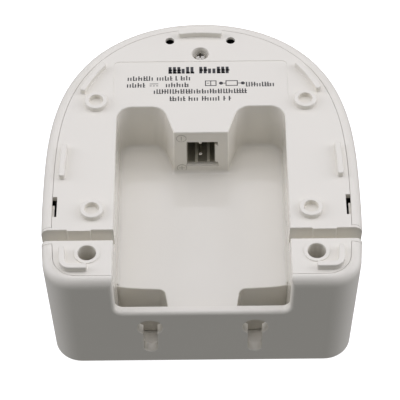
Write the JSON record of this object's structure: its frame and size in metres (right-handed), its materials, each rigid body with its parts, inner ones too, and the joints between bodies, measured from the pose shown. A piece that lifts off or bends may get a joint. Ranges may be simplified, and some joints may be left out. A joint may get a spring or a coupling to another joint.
{
  "type": "charging base",
  "caption": "D-shaped wall-mountable charging base for a cordless handset, upside down: plug pocket, pin inlet, cord grooves, keyholes, and a cradle with sprung contacts underneath.",
  "frame": {"origin": "bottom centre of the overall box, on the surface the base lies on, with its top face down", "axes": "+Z out of the underside, which is the down side in use; -Y out of the flat wall side with the keyholes; +X to the right seen from that side. Turn half a turn about Y to stand it as in use."},
  "size_m": [0.1138, 0.1254, 0.0512],
  "materials": {
    "shell": "satin moulded ABS, off-white",
    "cradle": "smooth moulded ABS, off-white",
    "inlet_black": "moulded black nylon",
    "pin_nickel": "nickel-plated",
    "contact_gold": "gold-plated",
    "spring_steel": "drawn wire",
    "carrier_nylon": "natural nylon",
    "board": "green solder mask on glass laminate",
    "capacitor_sleeve": "shrink sleeve",
    "ferrite": "sintered ferrite",
    "winding_copper": "enamelled copper wire",
    "chip_epoxy": "moulded epoxy",
    "led_body": "clear tinted epoxy",
    "light_pipe": "clear acrylic",
    "lead_red": "insulated wire",
    "lead_black": "insulated wire",
    "screw_steel": "zinc-plated"
  },
  "bodies": {
    "base": {"housing": "shell", "bottom_cover": "shell", "cradle_cup": "cradle", "inlet_socket": "inlet_black", "inlet_pin_lower": "pin_nickel", "inlet_pin_upper": "pin_nickel", "contact_spring_left": "spring_steel", "contact_spring_right": "spring_steel", "contact_carrier": "carrier_nylon", "main_board": "board", "capacitor": "capacitor_sleeve", "choke_core": "ferrite", "choke_winding": "winding_copper", "controller_chip": "chip_epoxy", "rectifier_diode": "chip_epoxy", "resistor_1": "chip_epoxy", "resistor_2": "chip_epoxy", "resistor_3": "chip_epoxy", "indicator_led": "led_body", "light_pipe": "light_pipe", "inlet_lead_positive": "lead_red", "inlet_lead_negative": "lead_black", "corner_screw_left": "screw_steel", "corner_screw_right": "screw_steel", "centre_screw": "screw_steel", "board_screw_1": "screw_steel", "board_screw_2": "screw_steel", "board_screw_3": "screw_steel", "board_screw_4": "screw_steel"},
    "left_contact": {"contact_pin_left": "contact_gold"},
    "right_contact": {"contact_pin_right": "contact_gold"}
  },
  "joints": [
    {"name": "left_contact_push", "type": "slide", "parent": "base", "child": "left_contact", "axis": [0, 0, 1], "range_m": [0, 0.0015], "stiffness_N_per_m": 250, "springref_m": -0.002, "deforming": ["contact_spring_left"]},
    {"name": "right_contact_push", "type": "slide", "parent": "base", "child": "right_contact", "axis": [0, 0, 1], "range_m": [0, 0.0015], "stiffness_N_per_m": 250, "springref_m": -0.002, "deforming": ["contact_spring_right"]}
  ]
}
